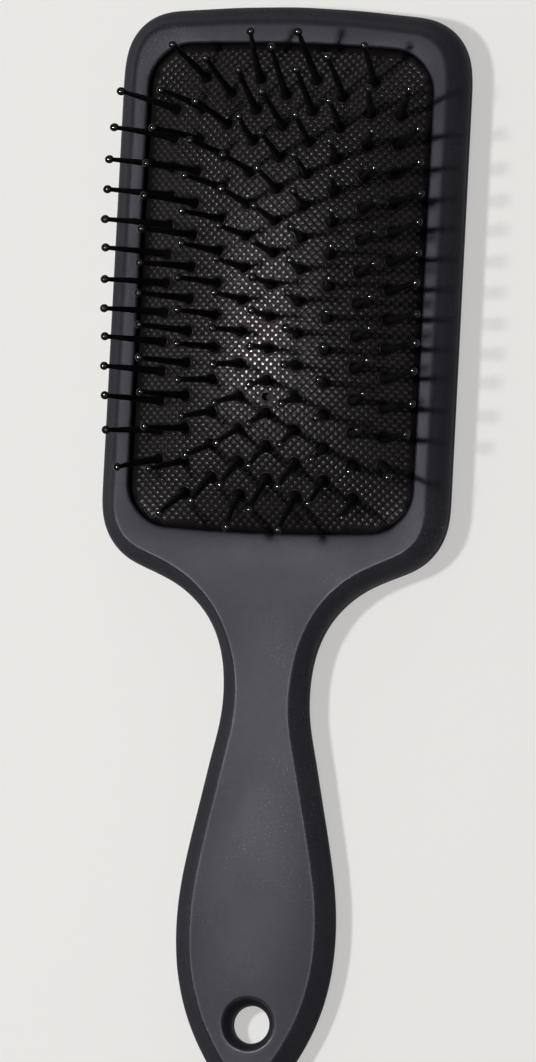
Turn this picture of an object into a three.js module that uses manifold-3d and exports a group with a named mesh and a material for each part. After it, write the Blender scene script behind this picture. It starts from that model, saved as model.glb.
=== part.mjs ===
// Large cushioned paddle hair brush, lying on its back with the pins up.
// Millimetres. X is the width, +Y runs from the handle to the head, +Z is the pin side.
// The origin is under the middle of the brush, on the flat of its back.
import * as THREE from 'three';
import { mergeVertices } from 'three/addons/utils/BufferGeometryUtils.js';
import Module from 'manifold-3d';

const wasm = await Module();
wasm.setup();

// ---------------------------------------------------------------- body
// Half of the parting outline, from the middle of the head's end round to the
// middle of the handle's end: half width, then position along the brush.
const OUTLINE = [
  [0, 130.5], [8, 130.3], [16, 129.95], [23, 129.4], [28, 128.8], [32.2, 127.9], [35.8, 126.2],
  [38.8, 123.4], [40.9, 119.8], [42.1, 115.2], [42.6, 109], [42.6, 96], [42.6, 78], [42.6, 60], [42.6, 42], [42.6, 26],
  [42.6, 14], [42.35, 8.4], [41.4, 4.4], [39.2, 0.7], [35.8, -2.4], [31.4, -4.8], [26.6, -7.1], [22.2, -9.5], [18.9, -12.1],
  [16.1, -15.1], [13.8, -18.6], [12.1, -22.6], [11.0, -27], [10.45, -32.5], [10.55, -38], [11.35, -43.6], [12.65, -49.6],
  [14.2, -57], [15.8, -64.6], [17.3, -72], [18.6, -79.6], [19.3, -86.6], [19.4, -93], [18.9, -99.6], [17.8, -105.6],
  [16.0, -111.6], [13.6, -117.2], [10.7, -122.4], [7.4, -126.9], [3.8, -129.6], [0, -130.5],
];
const PART_Z = 9.2; // height of the seam between the shells on the head
const DROOP_FROM = -32; // the seam runs down from here to the handle's end
const DROOP = 0.037; // mm of drop per mm of handle
const FACE_Z = 16.4; // height of the rim's front face
const NECK_FACE = 4.5; // height of the front face over the seam on the handle
const HEAD_SIDE = 4.0; // how far the rim's side leans in from seam to face
const BACK_ROUND = 6.2; // how far the back's rounded edge comes in
const WALL = 2.2;
const SEAM = 0.15; // each shell stops this far from the seam plane
const LIP_T = 1.1; // alignment lip of the rear shell
const LIP_H = 1.0;
const LIP_GAP = 0.3;
const FLOOR = 2.2;

// ---------------------------------------------------------------- cushion
const PAD_Y = 62.4; // middle of the cushion along the brush
const OPEN_X = 35.0; // half width of the opening in the rim
const OPEN_Y = 57.4; // half length of the opening, without its bow
const OPEN_R = 10; // corner radius of the opening
const OPEN_BOW = 1.4; // how far each end of the opening bows out
const PAD_EDGE_Z = 13.4; // where the cushion meets the rim
const CROWN = 12.5; // height of the dome over its edge
const CROWN_A = 34.9;
const CROWN_B = 58.7;
const CROWN_P = 2.5;
const CROWN_Q = 3.0;
const PAD_T = 1.5; // rubber thickness
const FLANGE = 2.4; // width of the clamped flange
const VENT_R = 0.85;
const VENT_Y = 35.6;
const HOLE_HALF = 1.36; // half width of a pin's hole

// ---------------------------------------------------------------- pins
const COL_PITCH = 6.86;
const PIN_PITCH = 7.65;
const OUTER_PITCH = 7.0; // the two outer rows are closer set
const PIN_LEN = 20.3; // pad surface to ball centre
const PIN_R_BASE = 1.05;
const PIN_R_TIP = 0.55;
const BALL_R = 1.02;
const PIN_SIDES = 5;
const WEB_DROP = 2.45; // web centre below the pad's surface
const WEB_W = 1.25; // half width of the web
const WEB_T = 0.55; // half thickness of the web

// ---------------------------------------------------------------- hang hole, tray, pegs
const HANG_Y = -113.3;
const HANG_R = 4.5;
const HANG_MOUTH = 6.4;
const HANG_FRONT = 3.2; // depth of the front countersink
const HANG_REAR = 5.4; // depth of the rear one, so that only a short throat is left between them
const TRAY_Z = 4.4;
const TRAY_T = 1.4;
const TRAY_GAP = 0.3;
const POSTS = [[-24, 24], [24, 24], [-24, 62.4], [24, 62.4], [-24, 100], [24, 100]];
const POST_R = 2.6;
const STUD_R = 1.3;
const PEGS = [[0, -24], [0, -62]];
const PEG_R = 1.5;
const SOCKET_R = 3.2;

// ================================================================ helpers
const drop = (y) => {
  const d = DROOP_FROM - y;
  if (d <= 0) return 0;
  return d < 20 ? DROOP * d * d / 40 : DROOP * (d - 10);
};
const seamZ = (y) => PART_Z - drop(y);
const smooth = (t) => { const s = Math.min(1, Math.max(0, t)); return s * s * (3 - 2 * s); };
// front face height: level round the rim, sloping down through the neck to the handle
const faceZ = (y) => {
  const t = smooth((4 - y) / 40);
  const handle = seamZ(y) + NECK_FACE - 0.6 * smooth((-40 - y) / 60);
  return FACE_Z * (1 - t) + handle * t;
};

const padSurface = (x, y) => {
  const u = Math.min(1, Math.abs(x) / CROWN_A), v = Math.min(1, Math.abs(y) / CROWN_B);
  return PAD_EDGE_Z + CROWN * (1 - u ** CROWN_P) * (1 - v ** CROWN_Q);
};
const padNormal = (x, y) => {
  const u = Math.min(1, Math.abs(x) / CROWN_A), v = Math.min(1, Math.abs(y) / CROWN_B);
  const zx = -CROWN * CROWN_P * u ** (CROWN_P - 1) / CROWN_A * Math.sign(x) * (1 - v ** CROWN_Q);
  const zy = -CROWN * CROWN_Q * v ** (CROWN_Q - 1) / CROWN_B * Math.sign(y) * (1 - u ** CROWN_P);
  return new THREE.Vector3(-zx, -zy, 1).normalize();
};

const toSolid = (geometry) => {
  const g = geometry.clone();
  g.deleteAttribute('normal');
  g.deleteAttribute('uv');
  const m = mergeVertices(g, 1e-4);
  return new wasm.Manifold(new wasm.Mesh({
    numProp: 3,
    vertProperties: new Float32Array(m.attributes.position.array),
    triVerts: new Uint32Array(m.index.array),
  }));
};
const toGeometry = (solid) => {
  const m = solid.getMesh();
  const g = new THREE.BufferGeometry();
  const p = new Float32Array(m.numVert * 3);
  for (let i = 0; i < m.numVert; i++) for (let k = 0; k < 3; k++) p[3 * i + k] = m.vertProperties[i * m.numProp + k];
  g.setAttribute('position', new THREE.BufferAttribute(p, 3));
  g.setIndex(Array.from(m.triVerts));
  g.computeVertexNormals();
  return g;
};

// closed outline of the body, counter-clockwise from above, with outward normals
const ringPoints = (step) => {
  const side = [];
  for (let i = 0; i < OUTLINE.length - 1; i++) {
    const a = OUTLINE[i], b = OUTLINE[i + 1];
    if (side.length && i % step && Math.abs(a[0]) > 0.1) continue;
    side.push(new THREE.Vector2(a[0], a[1]));
  }
  side.push(new THREE.Vector2(...OUTLINE[OUTLINE.length - 1]));
  const right = side.slice();
  const left = side.slice(1, -1).map((p) => new THREE.Vector2(-p.x, p.y)).reverse();
  // right side runs from the head's end down to the handle's end: reverse for counter-clockwise
  const all = right.concat(left);
  all.reverse();
  const n = all.length;
  return all.map((p, i) => {
    const q = all[(i + 1) % n], o = all[(i + n - 1) % n];
    const t = q.clone().sub(o).normalize();
    return { x: p.x, y: p.y, nx: t.y, ny: -t.x };
  });
};
const inset = (ring, d, z) => ring.map((p) => {
  const k = typeof d === 'function' ? d(p) : d;
  const y = p.y - p.ny * k;
  return new THREE.Vector3(p.x - p.nx * k, y, typeof z === 'function' ? z(p.y) : z);
});

// closed loft through rings with equal point counts, first and last ring capped
const loft = (rings) => {
  const n = rings[0].length, pos = [], idx = [];
  for (const r of rings) for (const p of r) pos.push(p.x, p.y, p.z);
  for (let k = 0; k < rings.length - 1; k++) {
    for (let i = 0; i < n; i++) {
      const j = (i + 1) % n, a = k * n + i, b = k * n + j, c = (k + 1) * n + j, d = (k + 1) * n + i;
      idx.push(a, b, c, a, c, d);
    }
  }
  const cap = (base, ring, up) => {
    const tris = THREE.ShapeUtils.triangulateShape(ring.map((p) => new THREE.Vector2(p.x, p.y)), []);
    for (const [a, b, c] of tris) idx.push(base + a, base + (up ? b : c), base + (up ? c : b));
  };
  cap(0, rings[0], false);
  cap((rings.length - 1) * n, rings[rings.length - 1], true);
  const g = new THREE.BufferGeometry();
  g.setAttribute('position', new THREE.Float32BufferAttribute(pos, 3));
  g.setIndex(idx);
  return g;
};

// round-cornered outline with bowed ends, grown by d
const openRing = (d, z, seg = 5, across = 5, along = 8) => {
  const pts = [];
  const hx = OPEN_X + d, hy = OPEN_Y + d, r = OPEN_R + d;
  const bow = (x) => OPEN_BOW * (1 - (x / hx) ** 2);
  const corner = (cx, cy, a0) => {
    for (let i = 0; i <= seg; i++) {
      const a = a0 + (Math.PI / 2) * i / seg;
      const x = cx + r * Math.cos(a), y = cy + r * Math.sin(a);
      pts.push([x, y + Math.sign(cy) * bow(x)]);
    }
  };
  const side = (x0, y0, x1, y1, n) => {
    for (let i = 1; i < n; i++) {
      const t = i / n, x = x0 + (x1 - x0) * t, y = y0 + (y1 - y0) * t;
      pts.push([x, y + (Math.abs(y) >= hy - 0.01 ? Math.sign(y) * bow(x) : 0)]);
    }
  };
  corner(hx - r, hy - r, 0);
  side(hx - r, hy, -hx + r, hy, across);
  corner(-hx + r, hy - r, Math.PI / 2);
  side(-hx, hy - r, -hx, -hy + r, along);
  corner(-hx + r, -hy + r, Math.PI);
  side(-hx + r, -hy, hx - r, -hy, across);
  corner(hx - r, -hy + r, 1.5 * Math.PI);
  side(hx, -hy + r, hx, hy - r, along);
  return pts.map(([x, y]) => new THREE.Vector3(x, y + PAD_Y, z));
};
const cylinder = (r0, r1, z0, z1, x, y, seg = 24) => {
  const g = new THREE.CylinderGeometry(r1, r0, z1 - z0, seg);
  g.rotateX(Math.PI / 2);
  g.translate(x, y, (z0 + z1) / 2);
  return g;
};

// ================================================================ materials
const shellMat = new THREE.MeshStandardMaterial({ color: 0x3c3d42, roughness: 0.62, metalness: 0 });
const trayMat = new THREE.MeshStandardMaterial({ color: 0x2a2a2c, roughness: 0.7, metalness: 0 });
const padMat = new THREE.MeshStandardMaterial({ color: 0x1c1c1e, roughness: 0.55, metalness: 0 });
const pinMat = new THREE.MeshStandardMaterial({ color: 0x0d0d0f, roughness: 0.3, metalness: 0 });

const brush = new THREE.Group();
const add = (name, geometry, material) => {
  const m = new THREE.Mesh(geometry, material);
  m.name = name;
  brush.add(m);
};

// ================================================================ front shell
const ring = ringPoints(1);
const coarse = ringPoints(2);
const arc = (t) => [(1 - Math.cos(t)) / (1 - Math.cos(1.05)), Math.sin(t) / Math.sin(1.05)];
const frontOuter = (pts, off, zoff) => {
  const rows = [];
  for (const t of [0, 0.45, 0.8, 1.05]) {
    const [u, v] = arc(t);
    rows.push(inset(pts, (p) => off + u * HEAD_SIDE, (y) => seamZ(y) + SEAM + v * (faceZ(y) - seamZ(y) - SEAM) + zoff));
  }
  return rows;
};
{
  let shell = toSolid(loft(frontOuter(ring, 0, 0)));
  // hollow inside, open at the seam
  const inner = [
    inset(coarse, WALL, (y) => seamZ(y) - 2),
    inset(coarse, WALL, (y) => seamZ(y) + LIP_H + 0.35),
    inset(coarse, WALL + 0.8 * HEAD_SIDE, (y) => faceZ(y) - 1.7),
  ];
  shell = shell.subtract(toSolid(loft(inner)));
  // opening for the cushion
  shell = shell.subtract(toSolid(loft([openRing(0, 0), openRing(0, PAD_EDGE_Z + 1.6), openRing(0.5, FACE_Z + 0.05), openRing(0.6, FACE_Z + 4)])));
  // room for the flange under the rim
  shell = shell.subtract(toSolid(loft([openRing(FLANGE + 0.35, 4, 4), openRing(FLANGE + 0.35, PAD_EDGE_Z - 0.35, 4)])));
  // boss round the hang hole, then the hole and its countersink
  const fz = faceZ(HANG_Y), sz = seamZ(HANG_Y) + SEAM;
  shell = shell.add(toSolid(cylinder(HANG_MOUTH + 1.2, HANG_MOUTH + 1.2, sz, fz - 0.4, 0, HANG_Y, 28)));
  // sockets for the locating pegs
  for (const [x, y] of PEGS) shell = shell.add(toSolid(cylinder(SOCKET_R, SOCKET_R, seamZ(y) + SEAM, faceZ(y) - 1, x, y, 16)));
  for (const [x, y] of PEGS) shell = shell.subtract(toSolid(cylinder(PEG_R + 0.3, PEG_R + 0.3, seamZ(y) - 2, faceZ(y) - 1.7, x, y, 16)));
  shell = shell.subtract(toSolid(cylinder(HANG_R, HANG_R, sz - 2, fz + 2, 0, HANG_Y, 28)));
  shell = shell.subtract(toSolid(cylinder(HANG_R - 0.15, HANG_MOUTH + 0.2, fz - HANG_FRONT, fz + 0.3, 0, HANG_Y, 28)));
  add('front_shell', toGeometry(shell), shellMat);
}

// ================================================================ rear shell
{
  const rows = [];
  for (const t of [1.45, 1.0, 0.5, 0]) {
    const u = 1 - Math.cos(t), v = Math.sin(t);
    rows.push(inset(ring, (p) => BACK_ROUND * u / (1 - Math.cos(1.45)), (y) => (seamZ(y) - SEAM) * (1 - v / Math.sin(1.45))));
  }
  let shell = toSolid(loft(rows));
  // hollow inside, open at the seam
  shell = shell.subtract(toSolid(loft([
    inset(coarse, BACK_ROUND + 0.9, FLOOR),
    inset(coarse, WALL + 1.6, FLOOR + 1.6),
    inset(coarse, WALL + LIP_GAP + LIP_T, (y) => Math.max(FLOOR + 3, seamZ(y) - 1.2)),
    inset(coarse, WALL + LIP_GAP + LIP_T, (y) => Math.max(FLOOR + 3, seamZ(y) - 1.2) + 14),
  ])));
  // alignment lip that stands inside the front shell's wall on the handle
  const lipTop = (y) => seamZ(y) + LIP_H;
  let lip = toSolid(loft([
    inset(coarse, WALL + LIP_GAP, (y) => seamZ(y) - 1.6),
    inset(coarse, WALL + LIP_GAP, lipTop),
  ])).subtract(toSolid(loft([
    inset(coarse, WALL + LIP_GAP + LIP_T, (y) => seamZ(y) - 4),
    inset(coarse, WALL + LIP_GAP + LIP_T, (y) => seamZ(y) + 6),
  ])));
  shell = shell.add(lip);
  // posts with studs that carry the tray
  for (const [x, y] of POSTS) {
    shell = shell.add(toSolid(cylinder(POST_R, POST_R, FLOOR - 0.8, TRAY_Z - TRAY_GAP, x, y, 8)));
    shell = shell.add(toSolid(cylinder(STUD_R, STUD_R, FLOOR - 0.8, TRAY_Z + TRAY_T + 0.6, x, y, 8)));
  }
  // locating pegs and the ribs they stand on
  for (const [x, y] of PEGS) {
    shell = shell.add(toSolid(cylinder(SOCKET_R, SOCKET_R, FLOOR - 0.8, seamZ(y) - SEAM, x, y, 16)));
    shell = shell.add(toSolid(cylinder(PEG_R, PEG_R, FLOOR - 0.8, faceZ(y) - 2.1, x, y, 16)));
  }
  // boss round the hang hole, the hole and its rear countersink
  shell = shell.add(toSolid(cylinder(HANG_MOUTH + 1.2, HANG_MOUTH + 1.2, 0.8, seamZ(HANG_Y) - SEAM, 0, HANG_Y, 28)));
  shell = shell.subtract(toSolid(cylinder(HANG_R, HANG_R, -2, 20, 0, HANG_Y, 28)));
  shell = shell.subtract(toSolid(cylinder(HANG_MOUTH + 0.2, HANG_R - 0.15, -0.3, HANG_REAR, 0, HANG_Y, 28)));
  add('rear_shell', toGeometry(shell), shellMat);
}

// ================================================================ cushion tray
{
  const out = FLANGE, zTop = PAD_EDGE_Z - 0.35 - 0.3 - 1.3 - 0.3;
  let tray = toSolid(loft([openRing(out, TRAY_Z, 4), openRing(out, zTop, 4)]));
  tray = tray.subtract(toSolid(loft([openRing(out - 2.2, TRAY_Z + TRAY_T, 4), openRing(out - 2.2, zTop + 2, 4)])));
  for (const [x, y] of POSTS) tray = tray.subtract(toSolid(cylinder(STUD_R + 0.35, STUD_R + 0.35, TRAY_Z - 1, TRAY_Z + TRAY_T + 1, x, y, 8)));
  add('cushion_tray', toGeometry(tray), trayMat);
}

// ================================================================ pins on their webs
const columns = [];
for (let c = -4; c <= 4; c++) {
  const outer = Math.abs(c) === 4;
  const count = c % 2 ? 14 : 13;
  const pitch = outer ? OUTER_PITCH : PIN_PITCH;
  const pins = [];
  for (let i = 0; i < count; i++) pins.push([c * COL_PITCH, ((count - 1) / 2 - i) * pitch]);
  columns.push({ c, pins });
}
const pinGeometry = (x, y) => {
  const n = padNormal(x, y);
  const g = new THREE.LatheGeometry([
    new THREE.Vector2(0, 0), new THREE.Vector2(PIN_R_BASE, 0),
    new THREE.Vector2(PIN_R_TIP, WEB_DROP + PIN_LEN - 0.8), new THREE.Vector2(BALL_R, WEB_DROP + PIN_LEN - 0.1),
    new THREE.Vector2(0.72, WEB_DROP + PIN_LEN + 0.72), new THREE.Vector2(0, WEB_DROP + PIN_LEN + BALL_R),
  ], PIN_SIDES);
  g.applyQuaternion(new THREE.Quaternion().setFromUnitVectors(new THREE.Vector3(0, 1, 0), n));
  g.translate(x - n.x * WEB_DROP, y - n.y * WEB_DROP + PAD_Y, padSurface(x, y) - n.z * WEB_DROP);
  return g;
};
const webGeometry = (pins) => {
  const stations = pins.map(([x, y]) => [x, y]);
  const first = [stations[0][0], stations[0][1] + 1.7], last = [stations[stations.length - 1][0], stations[stations.length - 1][1] - 1.7];
  const line = [last, ...stations.slice().reverse(), first];
  const rings = line.map(([x, y]) => {
    const n = padNormal(x, y);
    const c = new THREE.Vector3(x, y + PAD_Y, padSurface(x, y)).addScaledVector(n, -WEB_DROP);
    const across = new THREE.Vector3(1, 0, -n.x / n.z).normalize();
    const up = n.clone();
    return [[-1, -1], [1, -1], [1, 1], [-1, 1]].map(([a, b]) => c.clone().addScaledVector(across, a * WEB_W).addScaledVector(up, b * WEB_T));
  });
  const pos = [], idx = [];
  for (const r of rings) for (const p of r) pos.push(p.x, p.y, p.z);
  for (let k = 0; k < rings.length - 1; k++) {
    for (let i = 0; i < 4; i++) {
      const j = (i + 1) % 4, a = 4 * k + i, b = 4 * k + j, c = 4 * (k + 1) + j, d = 4 * (k + 1) + i;
      idx.push(a, c, b, a, d, c);
    }
  }
  const e = 4 * (rings.length - 1);
  idx.push(0, 1, 2, 0, 2, 3, e, e + 2, e + 1, e, e + 3, e + 2);
  const g = new THREE.BufferGeometry();
  g.setAttribute('position', new THREE.Float32BufferAttribute(pos, 3));
  g.setIndex(idx);
  return g;
};
for (const { c, pins } of columns) {
  let strip = toSolid(webGeometry(pins));
  for (const [x, y] of pins) strip = strip.add(toSolid(pinGeometry(x, y)));
  const name = c === 0 ? 'pin_strip_center' : `pin_strip_${c < 0 ? 'left' : 'right'}_${Math.abs(c)}`;
  add(name, toGeometry(strip), pinMat);
}

// ================================================================ air cushion
// The dome is laid out as one cell per pin, each cell with its square hole, and a
// margin from the cells out to the opening. The same layout is used for the upper
// and the lower skin, one rubber thickness apart along the dome's normal.
{
  const clampTop = PAD_EDGE_Z - 0.65, clampBottom = clampTop - 1.3;
  const key = (x, y) => `${x.toFixed(3)},${y.toFixed(3)}`;
  const plan = new Map();
  const points = [];
  const vertex = (x, y) => {
    const k = key(x, y);
    if (!plan.has(k)) { plan.set(k, points.length); points.push([x, y]); }
    return plan.get(k);
  };
  const faces = [], holes = [];
  const triangulate = (contour, loops) => {
    const all = contour.concat(...loops);
    const tris = THREE.ShapeUtils.triangulateShape(
      contour.map((p) => new THREE.Vector2(...p)), loops.map((l) => l.map((p) => new THREE.Vector2(...p))));
    for (const t of tris) {
      const [a, b, c] = t.map((q) => all[q]);
      const area = (b[0] - a[0]) * (c[1] - a[1]) - (b[1] - a[1]) * (c[0] - a[0]);
      const v = t.map((q) => vertex(...all[q]));
      faces.push(area > 0 ? v : [v[0], v[2], v[1]]);
    }
  };
  const bounds = columns.map(({ pins }) => {
    const pitch = pins[0][1] - pins[1][1];
    return pins.map(([, y]) => y + pitch / 2).concat(pins[pins.length - 1][1] - pitch / 2);
  });
  const lineX = (i) => (i - 4.5) * COL_PITCH;
  // every height at which a cell of either neighbour starts, along line i
  const marks = [];
  for (let i = 0; i <= 9; i++) {
    const ys = [...(bounds[i - 1] || []), ...(bounds[i] || [])].sort((a, b) => b - a);
    marks.push(ys.filter((y, k) => !k || ys[k - 1] - y > 1e-6));
  }
  const between = (ys, hi, lo) => ys.filter((y) => y < hi - 1e-6 && y > lo + 1e-6);
  columns.forEach(({ pins }, i) => {
    const x0 = lineX(i), x1 = lineX(i + 1);
    pins.forEach(([x, y], k) => {
      const hi = bounds[i][k], lo = bounds[i][k + 1];
      const contour = [[x0, hi], ...between(marks[i], hi, lo).map((v) => [x0, v]), [x0, lo], [x1, lo],
        ...between(marks[i + 1], hi, lo).reverse().map((v) => [x1, v]), [x1, hi]];
      const h = HOLE_HALF;
      const loop = [[x - h, y - h], [x + h, y - h], [x + h, y + h], [x - h, y + h]];
      triangulate(contour, [loop]);
      holes.push(loop.map((p) => vertex(...p)));
    });
  });
  // outer edge of the cells, walked counter-clockwise
  const edge = [];
  for (let i = 0; i < 9; i++) {
    const lo = bounds[i][bounds[i].length - 1];
    if (i > 0) {
      const prev = bounds[i - 1][bounds[i - 1].length - 1];
      edge.push([lineX(i), prev]);
      if (Math.abs(prev - lo) > 1e-6) edge.push([lineX(i), lo]);
    } else edge.push([lineX(0), lo]);
  }
  edge.push([lineX(9), bounds[8][bounds[8].length - 1]]);
  for (const y of between(marks[9], bounds[8][0], bounds[8][bounds[8].length - 1]).reverse()) edge.push([lineX(9), y]);
  for (let i = 8; i >= 0; i--) {
    const hi = bounds[i][0];
    if (i < 8) {
      const prev = bounds[i + 1][0];
      edge.push([lineX(i + 1), prev]);
      if (Math.abs(prev - hi) > 1e-6) edge.push([lineX(i + 1), hi]);
    } else edge.push([lineX(9), hi]);
  }
  edge.push([lineX(0), bounds[0][0]]);
  for (const y of between(marks[0], bounds[0][0], bounds[0][bounds[0].length - 1])) edge.push([lineX(0), y]);
  // heights along the inner lines that lie on the staircase belong to the edge too
  const loopEdge = [];
  edge.forEach((p, k) => {
    const q = edge[(k + 1) % edge.length];
    loopEdge.push(p);
    if (Math.abs(p[0] - q[0]) < 1e-6 && Math.abs(p[1] - q[1]) > 1e-6) {
      const i = Math.round(p[0] / COL_PITCH + 4.5);
      const hi = Math.max(p[1], q[1]), lo = Math.min(p[1], q[1]);
      const mid = between(marks[i], hi, lo).filter((y) => !edge.some((e) => Math.abs(e[0] - p[0]) < 1e-6 && Math.abs(e[1] - y) < 1e-6));
      if (p[1] < q[1]) mid.reverse();
      for (const y of mid) loopEdge.push([p[0], y]);
    }
  });
  const rim = openRing(-0.35, 0, 3, 4, 8).map((p) => [p.x, p.y - PAD_Y]);
  triangulate(rim, [loopEdge]);

  const pos = [], idx = [];
  const n = points.length;
  const isRim = new Set(rim.map((p) => vertex(...p)));
  const top = points.map(([x, y], k) => new THREE.Vector3(x, y + PAD_Y, isRim.has(k) ? PAD_EDGE_Z : padSurface(x, y)));
  const low = points.map(([x, y], k) => {
    const m = padNormal(x, y);
    return isRim.has(k)
      ? new THREE.Vector3(x - Math.sign(x) * 1.15, y + PAD_Y - Math.sign(y) * 1.15, clampBottom)
      : new THREE.Vector3(x - m.x * PAD_T, y + PAD_Y - m.y * PAD_T, padSurface(x, y) - m.z * PAD_T);
  });
  for (const v of top.concat(low)) pos.push(v.x, v.y, v.z);
  for (const [a, b, c] of faces) idx.push(a, b, c, n + a, n + c, n + b);
  for (const loop of holes) {
    loop.forEach((a, k) => {
      const b = loop[(k + 1) % 4];
      // loop runs counter-clockwise seen from above: the wall faces the hole's middle
      idx.push(a, b, n + b, a, n + b, n + a);
    });
  }
  // flange: from the rim down to the clamp, out, down and back to the lower skin
  const ringIds = rim.map((p) => vertex(...p));
  const rows = [ringIds];
  const pushRow = (d, z) => {
    const start = pos.length / 3;
    for (const p of openRing(d, z, 3, 4, 8)) pos.push(p.x, p.y, p.z);
    rows.push(ringIds.map((_, k) => start + k));
  };
  pushRow(-0.35, clampTop);
  pushRow(FLANGE, clampTop);
  pushRow(FLANGE, clampBottom);
  rows.push(ringIds.map((k) => n + k));
  for (let r = 0; r < rows.length - 1; r++) {
    for (let k = 0; k < ringIds.length; k++) {
      const j = (k + 1) % ringIds.length;
      const a = rows[r][k], b = rows[r][j], c = rows[r + 1][j], d = rows[r + 1][k];
      idx.push(a, c, b, a, d, c);
    }
  }
  const g = new THREE.BufferGeometry();
  g.setAttribute('position', new THREE.Float32BufferAttribute(pos, 3));
  g.setIndex(idx);
  let pad = toSolid(g);
  pad = pad.subtract(toSolid(cylinder(VENT_R, VENT_R, 20, 30, 0, VENT_Y, 12)));
  add('air_cushion', toGeometry(pad), padMat);
}

export default brush;
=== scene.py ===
"""Large cushioned paddle hair brush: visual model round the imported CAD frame."""

import math

import bpy
import numpy as np
from mathutils import Matrix, Vector, geometry


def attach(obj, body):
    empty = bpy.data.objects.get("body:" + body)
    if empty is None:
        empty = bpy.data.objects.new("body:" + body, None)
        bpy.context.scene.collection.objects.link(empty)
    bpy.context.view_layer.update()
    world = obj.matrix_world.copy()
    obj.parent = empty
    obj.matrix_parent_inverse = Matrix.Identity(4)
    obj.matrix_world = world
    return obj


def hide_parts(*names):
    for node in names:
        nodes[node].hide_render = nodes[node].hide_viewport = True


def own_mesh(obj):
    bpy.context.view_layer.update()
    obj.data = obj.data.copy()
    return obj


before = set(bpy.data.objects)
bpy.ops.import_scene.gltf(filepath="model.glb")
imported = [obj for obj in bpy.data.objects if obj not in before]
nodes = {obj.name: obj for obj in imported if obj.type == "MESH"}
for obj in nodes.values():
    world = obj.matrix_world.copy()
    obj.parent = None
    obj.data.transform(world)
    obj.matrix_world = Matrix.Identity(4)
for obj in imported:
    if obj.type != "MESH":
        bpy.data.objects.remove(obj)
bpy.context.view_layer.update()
MM = 0.001

# ------------------------------------------------------------------ dimensions, mm, as in the CAD model
OUTLINE = [
    (0, 130.5), (8, 130.3), (16, 129.95), (23, 129.4), (28, 129.0), (32.5, 128.35), (36.3, 126.75),
    (39.35, 124.0), (41.4, 120.3), (42.4, 115.4), (42.6, 109), (42.6, 96), (42.6, 78), (42.6, 60), (42.6, 42), (42.6, 26),
    (42.6, 14), (42.35, 8.4), (41.4, 4.4), (39.3, 0.55), (36.05, -2.65), (31.5, -5.0), (26.6, -7.1), (22.2, -9.5), (18.9, -12.1),
    (16.1, -15.1), (13.8, -18.6), (12.1, -22.6), (11.0, -27), (10.45, -32.5), (10.55, -38), (11.35, -43.6), (12.65, -49.6),
    (14.2, -57), (15.8, -64.6), (17.3, -72), (18.6, -79.6), (19.3, -86.6), (19.4, -93), (18.9, -99.6), (17.8, -105.6),
    (16.0, -111.6), (13.6, -117.2), (10.7, -122.4), (7.4, -126.9), (3.8, -129.6), (0, -130.5),
]
PART_Z, FACE_Z, NECK_FACE = 9.2, 16.4, 4.5
HEAD_SIDE, BACK_ROUND, WALL, SEAM = 4.0, 6.8, 2.2, 0.15
PAD_Y, OPEN_X, OPEN_Y, OPEN_R, OPEN_BOW = 62.4, 35.0, 57.4, 10.0, 1.4
PAD_EDGE_Z, CROWN, CROWN_A, CROWN_B, CROWN_P, CROWN_Q = 13.4, 12.5, 34.9, 58.7, 2.5, 3.0
PAD_T, FLANGE, VENT_R, VENT_Y = 1.5, 2.4, 0.85, 35.6
COL_PITCH, PIN_PITCH, OUTER_PITCH, PIN_LEN, BALL_R, WEB_DROP, WEB_W, WEB_T = 6.86, 7.65, 7.0, 20.3, 1.02, 2.45, 1.25, 0.55
HANG_Y, HANG_R, HANG_MOUTH = -113.3, 4.5, 6.4
FLOOR_T = 2.2
DOT_X, DOT_Y, DOT_H = 1.0, 1.0, 0.15  # half pitch across, row pitch, height of the raised dots
PAD_GAP, EDGE_LIFT = 0.24, 0.3  # groove between pad and rim, how far the rubber stands up along it


def smooth(t):
    s = np.clip(t, 0, 1)
    return s * s * (3 - 2 * s)


def drop(y):
    d = -32 - np.asarray(y, float)
    return np.where(d <= 0, 0, np.where(d < 20, 0.037 * d * d / 40, 0.037 * (d - 10)))


def seam_z(y):
    return PART_Z - drop(y)


def face_z(y):
    t = smooth((4 - y) / 40)
    handle = seam_z(y) + NECK_FACE - 0.6 * smooth((-40 - y) / 60)
    return FACE_Z * (1 - t) + handle * t


def side_in(y):
    return HEAD_SIDE - 0.85 * np.exp(-(((y + 18) / 15) ** 2))


def back_in(y):
    return BACK_ROUND - 2.0 * smooth((-96 - y) / 14)


def pad_z(x, y):
    u = np.minimum(1, np.abs(x) / CROWN_A)
    v = np.minimum(1, np.abs(y) / CROWN_B)
    return PAD_EDGE_Z + CROWN * (1 - u ** CROWN_P) * (1 - v ** CROWN_Q)


def pad_normal(x, y):
    x, y = np.asarray(x, float), np.asarray(y, float)
    u = np.minimum(1, np.abs(x) / CROWN_A)
    v = np.minimum(1, np.abs(y) / CROWN_B)
    zx = -CROWN * CROWN_P * u ** (CROWN_P - 1) / CROWN_A * np.sign(x) * (1 - v ** CROWN_Q)
    zy = -CROWN * CROWN_Q * v ** (CROWN_Q - 1) / CROWN_B * np.sign(y) * (1 - u ** CROWN_P)
    n = np.stack([-zx, -zy, np.ones_like(zx)], -1)
    return n / np.linalg.norm(n, axis=-1, keepdims=True)


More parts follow.
